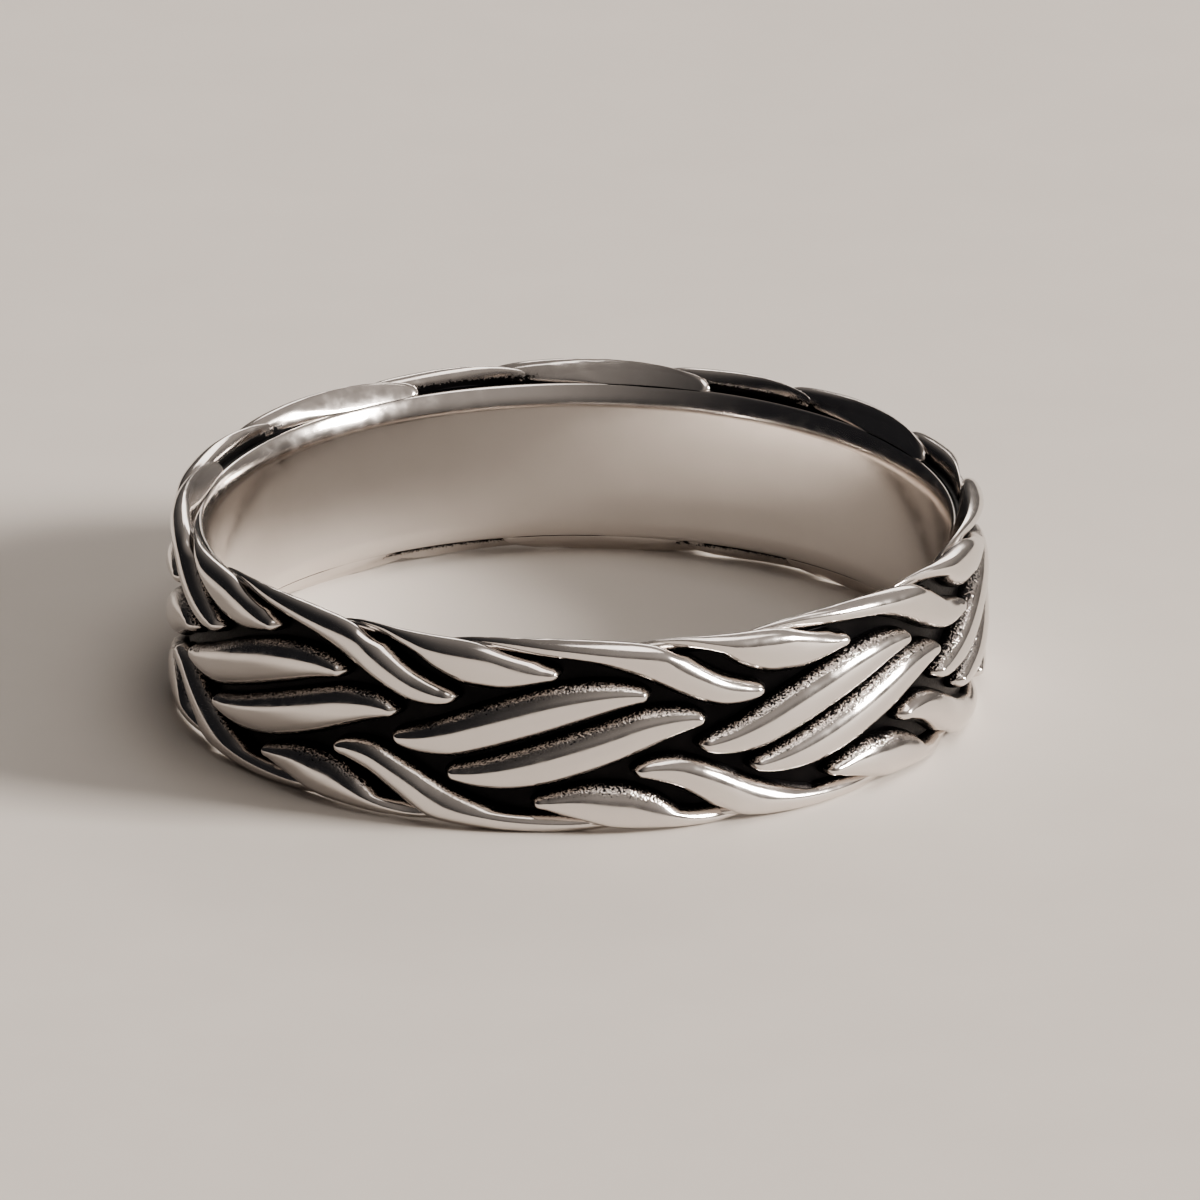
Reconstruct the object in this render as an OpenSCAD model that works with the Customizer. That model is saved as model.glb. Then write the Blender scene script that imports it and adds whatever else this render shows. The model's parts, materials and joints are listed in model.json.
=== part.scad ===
// Braided band ring, one cast solid, lying on its side with its axis upright.
// Units are millimetres. Eight repeats of six raised strand ends go round the band.

/* [Sizes] */
// Inside diameter of the ring, for the finger
bore_diameter = 19.8; // [14:0.1:24]
// Outside diameter over the raised strands
outer_diameter = 22.2; // [17:0.1:28]
// Width of the rounded shape that the strands are raised to, rim to rim
band_width = 5.64; // [3:0.1:12]

/* [Braid] */
// Number of times the braid repeats round the band
repeats = 8; // [5:1:14]
// Height of the strands above the floor of the grooves
relief = 0.62; // [0.2:0.02:1]
// Radius of the rounded shoulder between the outer face and each rim
shoulder = 0.66; // [0.2:0.02:1]
// How far the outer face falls away from its middle to the shoulders
crown_fall = 0.05; // [0:0.01:0.4]
// Height of the plain bead that joins the strands along each rim
bead_height = 0.4; // [0.1:0.01:0.6]

/* [Liner] */
// Length of the straight stretch of the bore
straight_length = 3.2; // [1:0.1:8]
// How much the bore opens at each rim for comfort
comfort_flare = 0.22; // [0.05:0.01:0.6]
// Wall of the smooth liner where it shows at the rims
lip_wall = 0.3; // [0.15:0.01:0.8]
// How far the liner's lip stays behind the strands at each rim
lip_setback = 0.47; // [0.05:0.01:1]

/* [Quality] */
// Sections of the relief in each repeat round the band
stations = 18; // [8:1:24]
// Points of each section across the outer face and rims
columns = 40; // [24:2:60]

/* [Hidden] */
bore_r = bore_diameter / 2;
outer_r = outer_diameter / 2;
half_width = band_width / 2;
pitch = 360 / repeats;
// The tables below give angles for a pitch of this many degrees
table_pitch = 45;
// The tables below give distances across for a band of this half width
table_half_width = 2.82;
// Facing direction of the pattern's zero angle
front = -90;
// Roundness of a strand's section, 2 for a round one and more for a squarer one
dome_power = 2.1;
// Share of a column's step over which it is moved to a strand's edge
snap_share = 0.45;
// How far the mesh's inner wall is inside the bore, whose cut takes it away
hidden_wall = 0.4;
// How far the rims' mesh reaches inside the bore's radius
hidden_reach = 0.1;
// Flat sides of the bore's circle
bore_sides = 180;
// Share of the flare that is reached halfway from the straight stretch to the lip
flare_share = 0.3;
// How much further the cut opens beyond the lip, and how far past the rim it goes
cut_opening = 0.5;
cut_beyond = 1;
silver = [0.78, 0.75, 0.72];

// Each row is [angle, lower edge, upper edge, height share].
// Edges are distances across the outer face and over the rim, from the middle line.
LONG = [
    [-19.5, 3.08, 3.40, 0.50],
    [-16, 2.94, 3.42, 0.74],
    [-11, 2.76, 3.40, 0.86],
    [-5, 2.46, 3.37, 0.93],
    [1, 2.19, 3.35, 0.98],
    [6, 1.90, 3.32, 1.00],
    [9.5, 1.64, 3.20, 1.00],
    [12, 1.40, 2.90, 1.00],
    [14.5, 1.16, 2.42, 1.00],
    [18, 0.86, 1.96, 0.98],
    [21.5, 0.66, 1.56, 0.93],
    [25, 0.70, 1.26, 0.85],
    [27.6, 0.92, 1.08, 0.70]
];
SHORT = [
    [8, 3.04, 3.22, 0.50],
    [11, 2.94, 3.18, 0.72],
    [13.5, 2.84, 3.12, 0.80],
    [16, 2.68, 3.09, 0.87],
    [18.5, 2.42, 3.08, 0.92],
    [21, 2.13, 3.09, 0.97],
    [24, 1.72, 3.12, 1.00],
    [28, 1.39, 3.12, 1.00],
    [31, 1.32, 2.96, 1.00],
    [34, 1.31, 2.62, 0.98],
    [37, 1.41, 2.32, 0.93],
    [40, 1.60, 2.05, 0.85],
    [42, 1.74, 1.92, 0.70]
];
CENTRE = [
    [17.8, -0.46, -0.22, 0.72],
    [20, -0.68, -0.08, 0.86],
    [23, -0.78, 0.14, 0.93],
    [27, -0.74, 0.46, 0.98],
    [31, -0.52, 0.78, 1.00],
    [36, -0.20, 1.12, 1.00],
    [41, 0.13, 1.41, 1.00],
    [46, 0.47, 1.56, 0.98],
    [50, 0.73, 1.56, 0.93],
    [53, 0.92, 1.44, 0.86],
    [55, 1.06, 1.28, 0.72]
];
// Edges of the bead along a rim, in the same distances
bead_low = 2.72;
bead_high = 3.12;
// Angle of the crosswise axis about which the braid looks the same after a half turn
half_turn_angle = 18;

// A strand's table turned half round about that axis.
function half_turn(table) = [for (i = [len(table) - 1:-1:0])
    let (row = table[i])
    [2 * half_turn_angle - row[0], -row[2], -row[1], row[3]]];
STRANDS = [LONG, SHORT, CENTRE, half_turn(LONG), half_turn(SHORT), half_turn(CENTRE)];

flat_reach = half_width - shoulder;
bend_reach = flat_reach + shoulder * PI / 2;
edge_r = outer_r - crown_fall;
side_r = edge_r - shoulder;
lip_r = bore_r + lip_wall;
lip_z = half_width - lip_setback;
size = half_width / table_half_width;
// Distance across at which the mesh turns in under the bore's cut
full_reach = bend_reach + side_r - bore_r + hidden_reach;
lip_reach = bend_reach + side_r - lip_r;
lip_share = 1 - lip_setback / relief;
turn_step = pitch / stations;
column_step = 2 * full_reach / (columns - 1);

// Radius and height of the outer envelope at a distance across the band.
function envelope(across) = let (far = abs(across))
    far <= flat_reach
        ? [outer_r - crown_fall * pow(far / flat_reach, 2), across]
        : far <= bend_reach
            ? let (bend = (far - flat_reach) / shoulder * 180 / PI)
              [edge_r - shoulder * (1 - cos(bend)), sign(across) * (flat_reach + shoulder * sin(bend))]
            : [side_r - (far - bend_reach), sign(across) * half_width];

// Outward direction of the envelope at a distance across the band.
function outward(across) = let (far = abs(across))
    far <= flat_reach
        ? [1, 0]
        : far <= bend_reach
            ? let (bend = (far - flat_reach) / shoulder * 180 / PI) [cos(bend), sign(across) * sin(bend)]
            : [0, sign(across)];

// Value of one column of a strand's table at an angle.
function at_angle(table, angle, column) =
    lookup(angle, [for (row = table) [row[0], row[column]]]);

// Is a strand there at an angle?
function covers(table, angle) = angle > table[0][0] && angle < table[len(table) - 1][0];

// Height of a dome between two edges at a distance across, 1 at its middle and 0 outside it.
function dome(low, high, across) =
    let (place = abs(across - (low + high) / 2) / ((high - low) / 2))
    place >= 1 ? 0 : pow(1 - pow(place, dome_power), 1 / dome_power);

// Height share of one strand at an angle and a distance across, 0 outside it.
function strand_share(table, angle, across) =
    at_angle(table, angle, 3)
        * dome(at_angle(table, angle, 1) * size, at_angle(table, angle, 2) * size, across);

// Depth of the surface below the envelope at an angle and a distance across.
function depth_at(angle, across) =
    let (
        strands = [for (table = STRANDS, shift = [-1:1])
            let (local = angle + shift * table_pitch)
            if (covers(table, local)) strand_share(table, local, across)],
        bead = bead_height / relief * dome(bead_low * size, bead_high * size, abs(across)),
        lip = abs(across) > lip_reach ? lip_share : 0
    )
    relief * (1 - max(concat(strands, [bead, lip])));

// Distances across of all the strands' edges at an angle.
function edges_at(angle) =
    [for (table = STRANDS, shift = [-1:1], column = [1:2])
        let (local = angle + shift * table_pitch)
        if (covers(table, local)) at_angle(table, local, column) * size];

// A distance across, moved to a strand's edge where one is near.
function snapped(across, edges) =
    let (
        gap = min([for (edge = edges) abs(edge - across)]),
        near = [for (edge = edges) if (abs(edge - across) == gap) edge][0]
    )
    gap < column_step * snap_share ? near : across;

// Distances across and depths over one repeat of the braid, a row for each station.
ACROSS = [for (i = [0:stations - 1])
    let (edges = edges_at(i * table_pitch / stations))
    [for (j = [0:columns - 1])
        let (even = (j - (columns - 1) / 2) * column_step)
        abs(even) < bend_reach ? snapped(even, edges) : even]];
DEPTHS = [for (i = [0:stations - 1])
    [for (across = ACROSS[i]) depth_at(i * table_pitch / stations, across)]];
// Radius and height of the same points.
SECTIONS = [for (i = [0:stations - 1])
    [for (j = [0:columns - 1]) envelope(ACROSS[i][j]) - outward(ACROSS[i][j]) * DEPTHS[i][j]]];
// Height of the lowest point of the strands, on which the ring rests
lowest = min([for (section = SECTIONS, place = section) place[1]]);

// The section's points at a station, the hidden inner corners last.
function station_points(i) =
    let (angle = front + i * turn_step, hidden_r = bore_r - hidden_wall)
    [for (place = concat(SECTIONS[i % stations], [[hidden_r, lip_z], [hidden_r, -lip_z]]))
        [place[0] * cos(angle), place[0] * sin(angle), place[1]]];

// The groove floor, lips and strands as one closed surface, before the bore is cut.
module relief_body() {
    around = columns + 2;
    total = stations * repeats;
    points = [for (i = [0:total - 1]) each station_points(i)];
    // Each square is split along the way that follows the strands' edges
    faces = [for (i = [0:total - 1], j = [0:around - 1])
        let (
            here = i * around + j,
            beside = i * around + (j + 1) % around,
            next = (i + 1) % total * around + j,
            across = (i + 1) % total * around + (j + 1) % around,
            row = DEPTHS[i % stations],
            row_next = DEPTHS[(i + 1) % stations],
            rising = j < columns - 1 && abs(row[j] - row_next[j + 1]) < abs(row[j + 1] - row_next[j])
        )
        each rising
            ? [[here, across, beside], [here, next, across]]
            : [[here, next, beside], [beside, next, across]]];
    polyhedron(points, faces, convexity = 6);
}

// What is taken out for the finger, straight in the middle and opening at the rims.
module finger_hole() {
    straight = straight_length / 2;
    beyond = half_width + cut_beyond;
    // Upper half of the cut's outline, from the straight stretch outwards
    upper = [
        [bore_r, straight],
        [bore_r + comfort_flare * flare_share, (straight + lip_z) / 2],
        [bore_r + comfort_flare, lip_z],
        [bore_r + comfort_flare + cut_opening, beyond],
        [0, beyond]
    ];
    rotate_extrude($fn = bore_sides)
        polygon(concat(upper, [for (i = [len(upper) - 1:-1:0]) [upper[i][0], -upper[i][1]]]));
}

module cast_band() {
    color(silver)
        translate([0, 0, -lowest])
            difference() {
                relief_body();
                finger_hole();
            }
}

cast_band();
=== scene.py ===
"""A braided silver band ring, cast in one piece, lying on its side on a pale floor.

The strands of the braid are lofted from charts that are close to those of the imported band's
relief, at a finer step. Sizes are in millimetres until a mesh is made, and metres from there on.
"""

import json
import math
import random

import bpy
import numpy as np
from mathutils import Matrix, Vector, noise


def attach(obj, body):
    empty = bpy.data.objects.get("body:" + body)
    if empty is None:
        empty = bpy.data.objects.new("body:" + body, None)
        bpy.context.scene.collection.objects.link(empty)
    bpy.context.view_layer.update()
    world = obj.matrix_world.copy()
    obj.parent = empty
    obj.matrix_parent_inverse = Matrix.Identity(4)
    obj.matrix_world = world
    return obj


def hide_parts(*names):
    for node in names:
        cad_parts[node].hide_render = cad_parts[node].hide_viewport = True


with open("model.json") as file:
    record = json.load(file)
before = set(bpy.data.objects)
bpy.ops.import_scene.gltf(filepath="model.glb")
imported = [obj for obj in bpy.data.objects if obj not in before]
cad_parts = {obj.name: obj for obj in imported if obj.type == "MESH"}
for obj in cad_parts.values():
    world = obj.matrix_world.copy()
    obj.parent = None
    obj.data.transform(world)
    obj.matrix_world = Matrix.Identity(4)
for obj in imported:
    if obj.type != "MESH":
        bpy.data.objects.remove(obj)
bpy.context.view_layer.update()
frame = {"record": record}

MM = 0.001

# Sizes of the band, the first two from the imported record
BORE_R = frame["record"]["mounts"][0]["dims"]["r_mm"]
CENTRE_Z = frame["record"]["mounts"][0]["pos_m"][2] / MM
OUTER_R = 11.1
HALF_WIDTH = 2.82
RELIEF = 0.62
SHOULDER = 0.66
CROWN_FALL = 0.05
REPEATS = 8
PITCH = 360 / REPEATS
FRONT = -90

# The liner: its straight stretch, the flare of the bore and the lip that shows at each rim
STRAIGHT_HALF = 1.6
FLARE = 0.22
FLARE_POWER = 1.7
FLARE_POINTS = 9
FLARE_STOP = 0.05
LIP_WALL = 0.3
LIP_SETBACK = 0.6
LINER_SECTIONS = 480
FLOOR_POINTS = 60
FLOOR_GAP = 0.01

# Rounded edges of the lip, each row is (step outwards in radius, drop below the lip, polish)
LIP_INNER_EDGE = [
    (-0.005, 0.02, 1.0),
    (0.02, 0.0, 1.0),
]
LIP_OUTER_EDGE = [
    (-0.03, 0.0, 1.0),
    (-0.006, 0.012, 0.7),
    (0.0, 0.04, 0.4),
    (0.0, 0.08, 0.0),
]

# Section of the strands: roundness, spread of their foot, and a skirt that goes under the floor
DOME_POWER = 2.2
DOME_POINTS = 21
FOOT = 0.05
SKIRT = 0.12
BORE_CLEARANCE = 0.004

# Length of a strand's rounded tip in half widths, and the sections in each row of its chart
TIP_REACH = 1.3
STEPS_PER_ROW = 10

# Where a strand has gone over the rim it falls off towards the lip, and is polished to its foot
RIM_BLEND = 0.4
RIM_START = 0.5
RIM_FALL = 0.45
LIP_BLEND = 0.15

# Marks of hand work: how far each strand strays from its chart, and how wavy its polish is
STRAY_ANGLE = 0.3
STRAY_ACROSS = 0.02
STRAY_WIDTH = 0.03
WIDER_SHARE = 0.5
WAVE_SIZE = 1.3
WAVE_HEIGHT = 0.006

# The pitted skin of the casting, deepest at one rise above the floor and fading from there
PIT_SIZE = 0.16
PIT_DEPTH = 0.03
PIT_RISE = 0.4
PIT_SPREAD = 0.4
GRAIN_REACH = 0.6
WEAK_GRAIN = 0.15
END_GRAIN = 0.4
LINER_GRAIN = 0.05

# Seed of all the strands' draws, and the range of the seeds that the waves get from them
SEED = 7
WAVE_SEEDS = 50

# Each row is (angle, lower edge, upper edge, height share), with edges as arc lengths from the
# middle of the band over its rounded outside
LONG = [
    (-19.5, 3.08, 3.42, 0.50),
    (-16, 2.94, 3.46, 0.74),
    (-11, 2.76, 3.46, 0.88),
    (-5, 2.46, 3.41, 0.96),
    (1, 2.19, 3.32, 1.00),
    (6, 1.90, 3.22, 1.00),
    (9.5, 1.64, 3.08, 1.00),
    (12, 1.40, 2.86, 1.00),
    (14.5, 1.16, 2.42, 1.00),
    (18, 0.86, 1.96, 0.98),
    (21.5, 0.66, 1.56, 0.93),
    (25, 0.68, 1.30, 0.90),
    (27.2, 0.82, 1.16, 0.80),
]
SHORT = [
    (8, 3.04, 3.22, 0.50),
    (11, 2.94, 3.18, 0.72),
    (13.5, 2.84, 3.12, 0.80),
    (16, 2.68, 3.09, 0.87),
    (18.5, 2.42, 3.08, 0.92),
    (21, 2.13, 3.09, 0.97),
    (24, 1.72, 3.12, 1.00),
    (28, 1.39, 3.12, 1.00),
    (31, 1.32, 2.96, 1.00),
    (34, 1.31, 2.62, 0.98),
    (37, 1.41, 2.32, 0.93),
    (40, 1.58, 2.08, 0.90),
    (41.8, 1.69, 1.98, 0.80),
]
CENTRE = [
    (18.2, -0.54, -0.20, 0.80),
    (20, -0.70, -0.06, 0.90),
    (23, -0.78, 0.14, 0.93),
    (27, -0.74, 0.46, 0.98),
    (31, -0.52, 0.78, 1.00),
    (36, -0.20, 1.12, 1.00),
    (41, 0.13, 1.41, 1.00),
    (46, 0.47, 1.56, 0.98),
    (50, 0.73, 1.56, 0.93),
    (53, 0.90, 1.46, 0.90),
    (54.6, 1.00, 1.34, 0.80),
]
# Edges and height share of the plain bead that joins the strands along each rim
BEAD_LOW = 2.72
BEAD_HIGH = 3.12
BEAD_SHARE = 0.65
# Angle of the crosswise axis about which the braid looks the same after a half turn
HALF_TURN_ANGLE = 18

# Each row is name: (details to the metre, octaves)
NOISES = {
    "speckle": (16000, 2),
    "cloud": (900, 4),
    "wear": (2600, 5),
    "waves": (700, 2),
    "mottle": (300, 2),
}
NOISE_MIDDLE = 0.5

# Colours of the silver, with alpha
POLISHED = (0.83, 0.79, 0.76, 1)
TARNISHED = (0.42, 0.37, 0.34, 1)
BLACKEST = (0.006, 0.006, 0.007, 1)
GREYEST = (0.022, 0.021, 0.022, 1)

# Levels of rise between which the silver's polish and tarnish change, and by how much
POLISH_SPAN = (0.24, 0.40)
SPECKLE_BY_GRAIN = 1.2
SPECKLE_ALWAYS = 0.35
GRAIN_WEAR = 0.24
TARNISH_SPAN = (0.3, 0.75)
TARNISH_SHARES = (1, 0.15)
PIT_SPAN = (0.42, 0.62)

# Roughness of the silver, and the depths of its bumps in metres
WEAR_SPAN = (0.3, 0.75)
POLISHED_ROUGHNESS = (0.10, 0.21)
SPECKLE_SPAN = (-0.2, 0.2)
SATIN_ROUGHNESS = (0.30, 0.50)
WAVES_DEPTH = 0.006 * MM
HAIRLINE_DEPTH = 0.0012 * MM
PITS_DEPTH = 0.03 * MM

# The paper floor, in metres
FLOOR_HALF = 1.5
FLOOR_ROUGHNESS = 0.8
FLOOR_DARK = (0.66, 0.62, 0.58, 1)
FLOOR_PALE = (0.70, 0.66, 0.62, 1)

# Soft lights. Each row is (name, azimuth, elevation, distance, width and height, watts), in
# degrees and metres, with azimuth 0 at the camera's side and 90 at the right.
LIGHTS = [
    ("key", 78, 23, 1.4, (0.36, 0.32), 34),
    ("top", 60, 72, 1.3, (0.9, 0.7), 4),
    ("back", 165, 30, 1.5, (1.0, 0.4), 3),
]
WARM = (1.0, 0.94, 0.88)

# Surroundings: spans of a direction's parts, and the shares of the paler tone at their ends
STUDIO_DARK = (0.012, 0.013, 0.016, 1)
STUDIO_PALE = (0.34, 0.31, 0.285, 1)
ASIDE_SPAN = (-0.85, 0.45)
ASIDE_SHARES = (0.04, 1)
ABOVE_SPAN = (0.0, 0.45)
ABOVE_SHARES = (0.35, 1)

# The camera: elevation, distance, width of its frame, and where the ring's middle is in the
# picture, in the picture's own pixels
VIEW_UP = 21.1
EYE_DISTANCE = 900 * MM
FRAME_WIDTH = 32.35 * MM
PICTURE_SIDE = 1200
RING_IN_PICTURE = (577.4, 593.3)
SENSOR_WIDTH = 36
CLIP_NEAR = 0.1
CLIP_FAR = 4

LIP_R = BORE_R + LIP_WALL
LIP_Z = HALF_WIDTH - LIP_SETBACK
FLAT_REACH = HALF_WIDTH - SHOULDER
BEND_REACH = FLAT_REACH + SHOULDER * math.pi / 2
EDGE_R = OUTER_R - CROWN_FALL
SIDE_R = EDGE_R - SHOULDER
MM_PER_DEGREE = math.radians(OUTER_R)


def envelope(across):
    """Radius, height and outward direction of the rounded shape that the strands are raised to."""
    far = np.abs(across)
    side = np.sign(across)
    bend = np.clip((far - FLAT_REACH) / SHOULDER, 0, math.pi / 2)
    crown = CROWN_FALL * (np.minimum(far, FLAT_REACH) / FLAT_REACH) ** 2
    down_side = np.maximum(far - BEND_REACH, 0)
    radius = OUTER_R - crown - SHOULDER * (1 - np.cos(bend)) - down_side
    height = side * (np.minimum(far, FLAT_REACH) + SHOULDER * np.sin(bend))
    return radius, height, np.cos(bend), side * np.sin(bend)


def raised(across, rise):
    """Radius and height of the surface at a rise, 0 on the groove floor and 1 at the envelope."""
    radius, height, out_r, out_z = envelope(across)
    depth = RELIEF * (1 - rise)
    return radius - out_r * depth, height - out_z * depth


def bore_radius(height):
    """Radius of the bore's wall at a height from the middle of the band."""
    share = np.maximum(np.abs(height) - STRAIGHT_HALF, 0) / (LIP_Z - STRAIGHT_HALF)
    return BORE_R + FLARE * share**FLARE_POWER


def rounded_ends(rows):
    """A chart with a tip beyond each end, mirrored there so that the strand closes round."""
    def end(row, away):
        angle, low, high, share = row
        reach = TIP_REACH * (high - low) / 2 / MM_PER_DEGREE
        tip = (angle - away * reach, (low + high) / 2, (low + high) / 2, 0)
        return tip, (angle, high, low, -share)

    first_tip, first_mirror = end(rows[0], 1)
    last_tip, last_mirror = end(rows[-1], -1)
    return np.array([first_mirror, first_tip, *rows, last_tip, last_mirror], float)


def half_turn(rows):
    """A chart turned half round about the braid's crosswise axis of symmetry."""
    return [(2 * HALF_TURN_ANGLE - a, -high, -low, share) for a, low, high, share in reversed(rows)]


def smooth_rows(knots, steps):
    """A smooth curve through the knots, with a number of steps from each to the next."""
    made = []
    for before, here, after, later in zip(knots, knots[1:], knots[2:], knots[3:]):
        for step in range(steps):
            t = step / steps
            line = 2 * here + (after - before) * t
            bend = (2 * before - 5 * here + 4 * after - later) * t**2
            twist = (3 * here - before - 3 * after + later) * t**3
            made.append((line + bend + twist) / 2)
    made.append(knots[-2])
    return np.array(made)


def dome():
    """Places across a strand from -1 to 1 and the dome's height there, a skirt at each side."""
    turn = np.linspace(-math.pi / 2, math.pi / 2, DOME_POINTS)
    power = 2 / DOME_POWER
    place = np.sign(turn) * np.abs(np.sin(turn)) ** power
    height = np.abs(np.cos(turn)) ** power
    height[[0, -1]] = 0
    place = np.concatenate([[-1], place, [1]])
    height = np.concatenate([[-SKIRT], height, [-SKIRT]])
    return place, height


def wavy(point, size, height, seed):
    """A smooth uneven height at a point."""
    return height * noise.noise(Vector(point) / size + Vector((seed, seed, seed)))


def grain_at(across, place, pitted_side):
    """How pitted each point is: most along one edge and round the ends, and not on the rims."""
    count = len(across)
    along = np.minimum(np.arange(count), np.arange(count)[::-1]) / STEPS_PER_ROW
    ends = np.clip(1 - along, 0, 1)[:, None] * END_GRAIN
    edge = np.clip(place / GRAIN_REACH, 0, 1)[None, :] * pitted_side
    other = np.clip(-place / GRAIN_REACH, 0, 1)[None, :] * WEAK_GRAIN
    off_rim = np.clip((FLAT_REACH + SHOULDER / 2 - np.abs(across)) / SHOULDER, 0, 1)
    return np.maximum(np.maximum(ends, edge), other) * off_rim


def tube_faces(rings, columns, closed):
    """Faces between rings of points, and from the last ring to the first where it is closed."""
    faces = []
    for i in range(rings if closed else rings - 1):
        here = i * columns
        there = (i + 1) % rings * columns
        for j in range(columns):
            k = (j + 1) % columns
            faces.append((here + j, here + k, there + k, there + j))
    return faces


def strand(rows, pitted_side, turn, dice):
    """Points, faces, rises and grains of one strand, turned to its repeat."""
    chart = smooth_rows(rounded_ends(rows), STEPS_PER_ROW)
    angle = chart[:, 0] + dice.uniform(-1, 1) * STRAY_ANGLE
    middle = (chart[:, 1] + chart[:, 2]) / 2 + dice.uniform(-1, 1) * STRAY_ACROSS
    half = (chart[:, 2] - chart[:, 1]) / 2 * (1 + dice.uniform(-1, WIDER_SHARE) * STRAY_WIDTH)
    half += FOOT * chart[:, 3]
    place, height = dome()
    across = middle[:, None] + half[:, None] * place
    past_bend = np.abs(across) - BEND_REACH
    rise = np.where(height < 0, height, chart[:, 3][:, None] * height)
    past_rim = np.clip(past_bend / RIM_BLEND + RIM_START, 0, 1)
    rise = np.where(rise > 0, rise * (1 - RIM_FALL * past_rim**2), rise)

    radius, level = raised(across, rise)
    radius = np.maximum(radius, bore_radius(level) + BORE_CLEARANCE)
    way = np.radians(FRONT + turn + angle)[:, None]
    points = np.stack([radius * np.cos(way), radius * np.sin(way), level], axis=-1)
    out_r, out_z = envelope(across)[2:]
    outward = np.stack(
        [out_r * np.cos(way), out_r * np.sin(way), out_z * np.ones_like(way)], axis=-1
    )

    on_lip = np.clip(past_bend / LIP_BLEND, 0, 1)
    rises = np.where(height > 0, np.maximum(rise, on_lip), rise).reshape(-1)
    grains = grain_at(across, place, pitted_side).reshape(-1)
    points = points.reshape(-1, 3)
    outward = outward.reshape(-1, 3)
    seed = dice.uniform(0, WAVE_SEEDS)
    for i, point in enumerate(points):
        pitted = grains[i] * max(0.0, 1 - abs(rises[i] - PIT_RISE) / PIT_SPREAD)
        lift = wavy(point, WAVE_SIZE, WAVE_HEIGHT, seed)
        lift += pitted * wavy(point, PIT_SIZE, PIT_DEPTH, seed)
        points[i] = point + outward[i] * lift
    return points, tube_faces(len(angle), len(place), closed=False), rises, grains


def new_object(name, points, faces, rises, grains):
    """A smooth mesh object in metres, with each point's rise and grain kept for its material."""
    mesh = bpy.data.meshes.new(name)
    mesh.from_pydata((np.array(points) * MM).tolist(), [], faces)
    for kind, values in (("rise", rises), ("grain", grains)):
        attribute = mesh.attributes.new(kind, "FLOAT", "POINT")
        attribute.data.foreach_set("value", np.array(values, np.float32))
    mesh.shade_smooth()
    mesh.validate()
    piece = bpy.data.objects.new(name, mesh)
    bpy.context.scene.collection.objects.link(piece)
    return piece


def strands(name, rows, pitted_side, dice):
    """All the strands of one kind, one for each repeat of the braid."""
    points, faces, rises, grains = [], [], [], []
    for repeat in range(REPEATS):
        made = strand(rows, pitted_side, repeat * PITCH, dice)
        start = len(points)
        points.extend(made[0] + np.array([0, 0, CENTRE_Z]))
        faces.extend(tuple(start + i for i in face) for face in made[1])
        rises.extend(made[2])
        grains.extend(made[3])
    return new_object(name, points, faces, rises, grains)


def lip_edge(rows, radius):
    """Radius, height and rise along one rounded edge of the liner's lip."""
    return [(radius + step, LIP_Z - drop, polish) for step, drop, polish in rows]


def liner_profile():
    """Radius, height and rise of the liner's section, from its middle over one rim to the floor."""
    middle = [(BORE_R, 0.0, 1.0), (BORE_R, STRAIGHT_HALF / 2, 1.0)]
    levels = np.linspace(STRAIGHT_HALF, LIP_Z - FLARE_STOP, FLARE_POINTS)
    flare = [(float(bore_radius(level)), level, 1.0) for level in levels]
    lip = lip_edge(LIP_INNER_EDGE, BORE_R + FLARE) + lip_edge(LIP_OUTER_EDGE, LIP_R)
    across = np.linspace(BEND_REACH + SIDE_R - LIP_R - FLOOR_GAP, 0, FLOOR_POINTS)
    place = np.abs(across - (BEAD_LOW + BEAD_HIGH) / 2) / ((BEAD_HIGH - BEAD_LOW) / 2)
    bead = BEAD_SHARE * np.clip(1 - place**DOME_POWER, 0, None) ** (1 / DOME_POWER)
    radius, height = raised(across, bead)
    return [*middle, *flare, *lip, *zip(radius, height, bead)]


def liner():
    """The smooth bore, its lips and the floor of the grooves, turned about the axis."""
    upper = liner_profile()
    profile = upper + [(r, -z, rise) for r, z, rise in reversed(upper[1:-1])]
    points = []
    for i in range(LINER_SECTIONS):
        way = 2 * math.pi * i / LINER_SECTIONS
        points.extend((r * math.cos(way), r * math.sin(way), z + CENTRE_Z) for r, z, _ in profile)
    rises = [rise for _, _, rise in profile] * LINER_SECTIONS
    faces = tube_faces(LINER_SECTIONS, len(profile), closed=True)
    return new_object("liner", points, faces, rises, [LINER_GRAIN] * len(points))


def node(tree, kind, **properties):
    """A shader node with its properties set."""
    made = tree.nodes.new(kind)
    for name, value in properties.items():
        setattr(made, name, value)
    return made


def feed(tree, socket, value):
    """Gives an input its value, which is another node's output or a plain value."""
    if isinstance(value, bpy.types.NodeSocket):
        tree.links.new(value, socket)
    else:
        socket.default_value = value


def math_node(tree, operation, *values):
    """The result of a sum between sockets or numbers."""
    made = node(tree, "ShaderNodeMath", operation=operation)
    for i, value in enumerate(values):
        feed(tree, made.inputs[i], value)
    return made.outputs[0]


def noise_node(tree, vector, kind):
    """Even noise of one of the kinds in the table, about its middle."""
    made = node(tree, "ShaderNodeTexNoise")
    for name, value in zip(("Vector", "Scale", "Detail"), (vector, *NOISES[kind])):
        feed(tree, made.inputs[name], value)
    return made.outputs["Fac"]


def range_node(tree, value, span, results, smooth="LINEAR"):
    """A value carried from a span to the results at its ends, and held there beyond them."""
    made = node(tree, "ShaderNodeMapRange", interpolation_type=smooth)
    names = ("Value", "From Min", "From Max", "To Min", "To Max")
    for name, given in zip(names, (value, *span, *results)):
        feed(tree, made.inputs[name], given)
    return made.outputs["Result"]


def blend(tree, kind, share, first, second):
    """A blend of two colours or two numbers, by a share of the second."""
    made = node(tree, "ShaderNodeMix", data_type=kind)
    for name, value in (("Factor", share), ("A", first), ("B", second)):
        feed(tree, made.inputs[name], value)
    return made.outputs["Result"]


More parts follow.
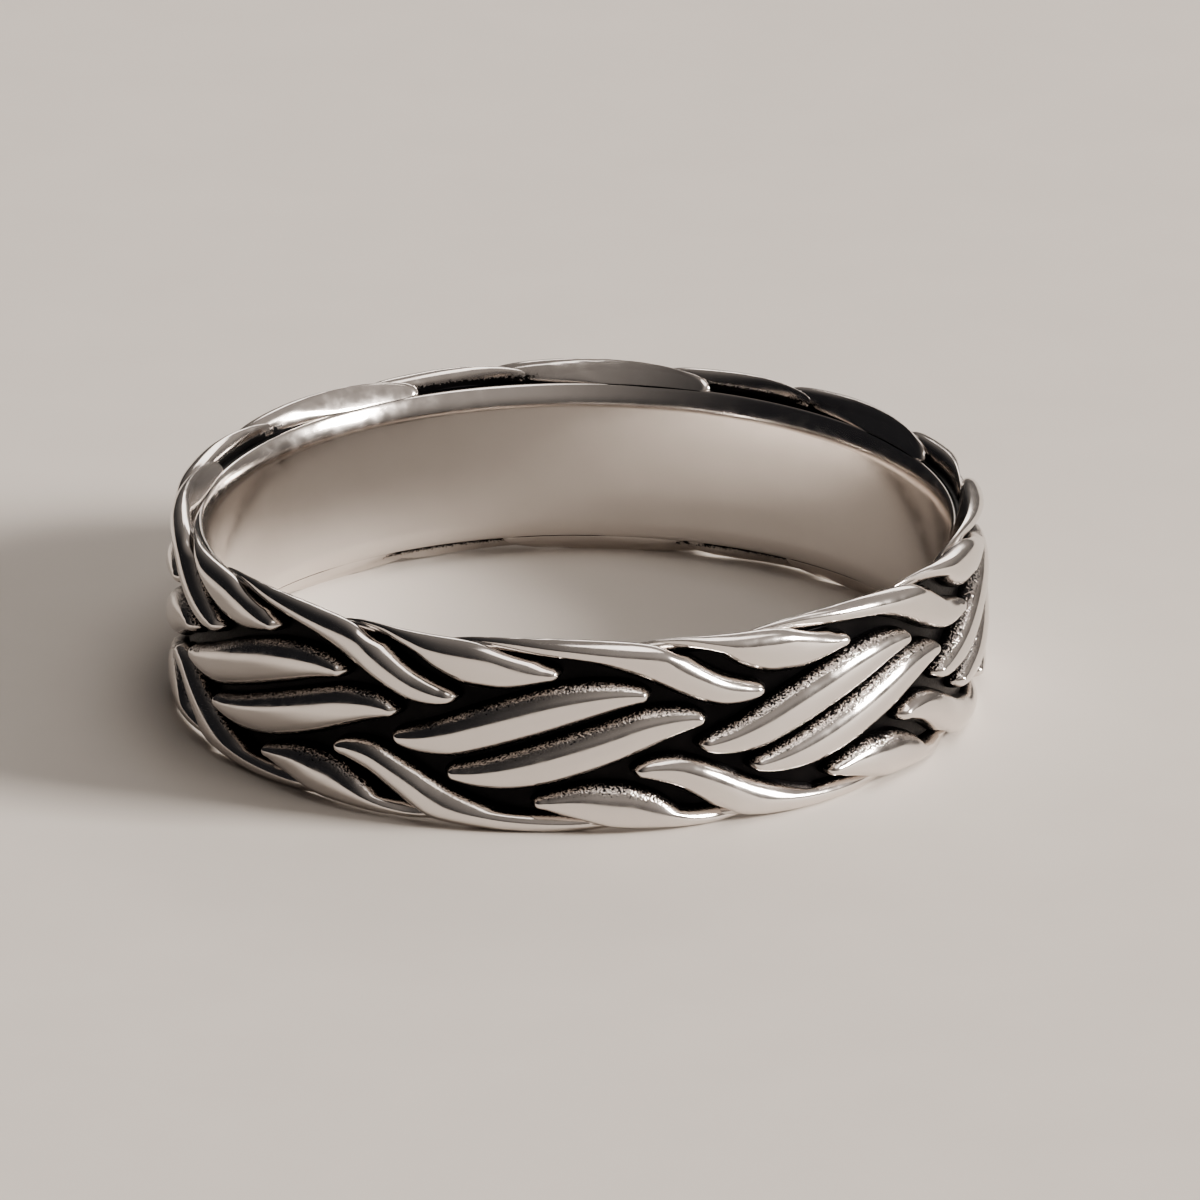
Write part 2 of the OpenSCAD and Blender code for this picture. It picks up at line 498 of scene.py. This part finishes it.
def bump_node(tree, height, depth, normal=None):
    """A bump of a depth in metres, on top of another one where a normal is given."""
    made = node(tree, "ShaderNodeBump")
    feed(tree, made.inputs["Distance"], depth)
    feed(tree, made.inputs["Height"], height)
    if normal is not None:
        feed(tree, made.inputs["Normal"], normal)
    return made.outputs["Normal"]


def point_value(tree, name):
    """A value that the mesh keeps for each point."""
    return node(tree, "ShaderNodeAttribute", attribute_name=name).outputs["Fac"]


def new_material(name):
    """A material with its node tree and its principled shader."""
    material = bpy.data.materials.new(name)
    material.use_nodes = True
    tree = material.node_tree
    return material, tree, tree.nodes["Principled BSDF"]


def silver_material():
    """Polished silver on the raised faces, black in the grooves, with a pitted edge between."""
    material, tree, shader = new_material("silver")
    place = node(tree, "ShaderNodeTexCoord").outputs["Object"]
    rise = point_value(tree, "rise")
    grain = point_value(tree, "grain")
    cloud = noise_node(tree, place, "cloud")
    wear = noise_node(tree, place, "wear")

    # Where the polish has reached: lower on plain edges, higher and speckled on pitted ones
    speckle = math_node(tree, "SUBTRACT", noise_node(tree, place, "speckle"), NOISE_MIDDLE)
    spread = math_node(tree, "MULTIPLY_ADD", grain, SPECKLE_BY_GRAIN, SPECKLE_ALWAYS)
    worn_rise = math_node(tree, "MULTIPLY_ADD", grain, -GRAIN_WEAR, rise)
    level = math_node(tree, "MULTIPLY_ADD", speckle, spread, worn_rise)
    polished = range_node(tree, level, POLISH_SPAN, (0, 1), "SMOOTHSTEP")

    # Slight tarnish on the polished faces, deeper near the grooves
    near_groove = range_node(tree, worn_rise, TARNISH_SPAN, TARNISH_SHARES)
    tarnish = math_node(tree, "MULTIPLY", cloud, near_groove)
    bright = blend(tree, "RGBA", tarnish, POLISHED, TARNISHED)
    patina = blend(tree, "RGBA", cloud, BLACKEST, GREYEST)

    # Fine scratches and wear in the polish, satin in the grooves
    worn = range_node(tree, wear, WEAR_SPAN, POLISHED_ROUGHNESS)
    satin = range_node(tree, speckle, SPECKLE_SPAN, SATIN_ROUGHNESS)

    # Soft waves left by hand polishing, and pits in the cast skin where the polish fades
    waves = bump_node(tree, noise_node(tree, place, "waves"), WAVES_DEPTH)
    hairline = bump_node(tree, wear, HAIRLINE_DEPTH, waves)
    fading = range_node(tree, worn_rise, PIT_SPAN, (1, 0))
    pitted = math_node(tree, "MULTIPLY", fading, grain)
    pit_height = math_node(tree, "MULTIPLY", speckle, pitted)

    feed(tree, shader.inputs["Metallic"], 1)
    feed(tree, shader.inputs["Base Color"], blend(tree, "RGBA", polished, patina, bright))
    feed(tree, shader.inputs["Roughness"], blend(tree, "FLOAT", polished, satin, worn))
    feed(tree, shader.inputs["Normal"], bump_node(tree, pit_height, PITS_DEPTH, hairline))
    return material


def floor_material():
    """Matt pale paper with a faint mottle."""
    material, tree, shader = new_material("pale_floor")
    place = node(tree, "ShaderNodeTexCoord").outputs["Object"]
    mottle = noise_node(tree, place, "mottle")
    feed(tree, shader.inputs["Roughness"], FLOOR_ROUGHNESS)
    feed(tree, shader.inputs["Base Color"], blend(tree, "RGBA", mottle, FLOOR_DARK, FLOOR_PALE))
    return material


def make_floor():
    """A wide pale floor under the ring."""
    mesh = bpy.data.meshes.new("floor")
    sides = [(-1, -1), (1, -1), (1, 1), (-1, 1)]
    mesh.from_pydata([(x * FLOOR_HALF, y * FLOOR_HALF, 0) for x, y in sides], [], [(0, 1, 2, 3)])
    floor = bpy.data.objects.new("floor", mesh)
    bpy.context.scene.collection.objects.link(floor)
    floor.data.materials.append(floor_material())


def soft_light(name, azimuth, elevation, distance, size, power):
    """A soft light that faces the ring."""
    lamp = bpy.data.lights.new(name, "AREA")
    lamp.shape = "RECTANGLE"
    lamp.size, lamp.size_y = size
    lamp.energy = power
    lamp.color = WARM
    light = bpy.data.objects.new(name, lamp)
    bpy.context.scene.collection.objects.link(light)
    turn = math.radians(azimuth)
    up = math.radians(elevation)
    away = Vector((math.sin(turn) * math.cos(up), -math.cos(turn) * math.cos(up), math.sin(up)))
    light.location = away * distance
    light.rotation_euler = away.to_track_quat("Z", "Y").to_euler()


def studio_world():
    """Surroundings that fade from mid grey on the right to dark on the left."""
    world = bpy.data.worlds.new("studio")
    world.use_nodes = True
    tree = world.node_tree
    parts = node(tree, "ShaderNodeSeparateXYZ")
    feed(tree, parts.inputs["Vector"], node(tree, "ShaderNodeTexCoord").outputs["Generated"])
    aside = range_node(tree, parts.outputs["X"], ASIDE_SPAN, ASIDE_SHARES, "SMOOTHSTEP")
    above = range_node(tree, parts.outputs["Z"], ABOVE_SPAN, ABOVE_SHARES, "SMOOTHSTEP")
    level = math_node(tree, "MULTIPLY", aside, above)
    tone = blend(tree, "RGBA", level, STUDIO_DARK, STUDIO_PALE)
    feed(tree, tree.nodes["Background"].inputs["Color"], tone)
    bpy.context.scene.world = world


def make_camera():
    """The photograph's view of the ring, turned so that the ring lies on its side."""
    camera = bpy.data.cameras.new("camera")
    camera.sensor_width = SENSOR_WIDTH
    camera.lens = SENSOR_WIDTH * EYE_DISTANCE / FRAME_WIDTH
    camera.clip_start = EYE_DISTANCE * CLIP_NEAR
    camera.clip_end = EYE_DISTANCE * CLIP_FAR
    eye = bpy.data.objects.new("camera", camera)
    bpy.context.scene.collection.objects.link(eye)
    up = math.radians(VIEW_UP)
    back = Vector((0, -math.cos(up), math.sin(up)))
    right = Vector((1, 0, 0))
    above = Vector((0, math.sin(up), math.cos(up)))
    pixel = FRAME_WIDTH / PICTURE_SIDE
    aside = right * ((PICTURE_SIDE / 2 - RING_IN_PICTURE[0]) * pixel)
    lifted = above * ((RING_IN_PICTURE[1] - PICTURE_SIDE / 2) * pixel)
    target = Vector((0, 0, CENTRE_Z * MM)) + aside + lifted
    eye.location = target + back * EYE_DISTANCE
    eye.rotation_euler = back.to_track_quat("Z", "Y").to_euler()
    bpy.context.scene.camera = eye


silver = silver_material()
dice = random.Random(SEED)
# Each row is name: (the strand kind's chart, how pitted its upper edge is)
KINDS = {
    "long_upper": (LONG, 0.3),
    "short_upper": (SHORT, 0.3),
    "upper_centre": (CENTRE, 1.0),
    "long_lower": (half_turn(LONG), 0.5),
    "short_lower": (half_turn(SHORT), 1.0),
    "lower_centre": (half_turn(CENTRE), 1.0),
}
pieces = [strands(name, rows, pitted, dice) for name, (rows, pitted) in KINDS.items()]
pieces.append(liner())
for piece in pieces:
    piece.data.materials.append(silver)
    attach(piece, "root")
    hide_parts("cast_band")
make_floor()
for light_row in LIGHTS:
    soft_light(*light_row)
studio_world()
make_camera()
bpy.context.scene.view_settings.look = "AgX - Medium High Contrast"
